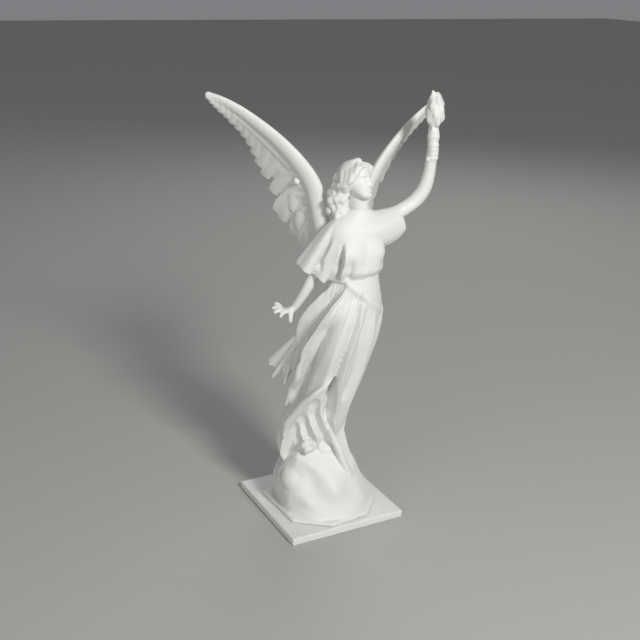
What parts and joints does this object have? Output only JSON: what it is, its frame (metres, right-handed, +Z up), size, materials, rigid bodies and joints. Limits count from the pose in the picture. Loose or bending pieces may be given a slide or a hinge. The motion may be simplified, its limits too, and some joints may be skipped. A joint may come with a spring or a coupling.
{
  "type": "angel statue",
  "caption": "Small printed figure of a robed, winged angel striding off a rock with a raised torch, on a thin square base plate.",
  "frame": {"origin": "middle of the underside of the square base plate", "axes": "+Z up, -Y towards the front the figure faces, +X towards the figure's left, the hand that lifts the torch"},
  "size_m": [0.0943, 0.05, 0.1703],
  "materials": {
    "base_plate": "matt white printing plastic, as printed",
    "angel_figure": "matt white printing plastic, as printed"
  },
  "bodies": {
    "root": {"base_plate": "base_plate", "angel_figure": "angel_figure"}
  },
  "joints": []
}
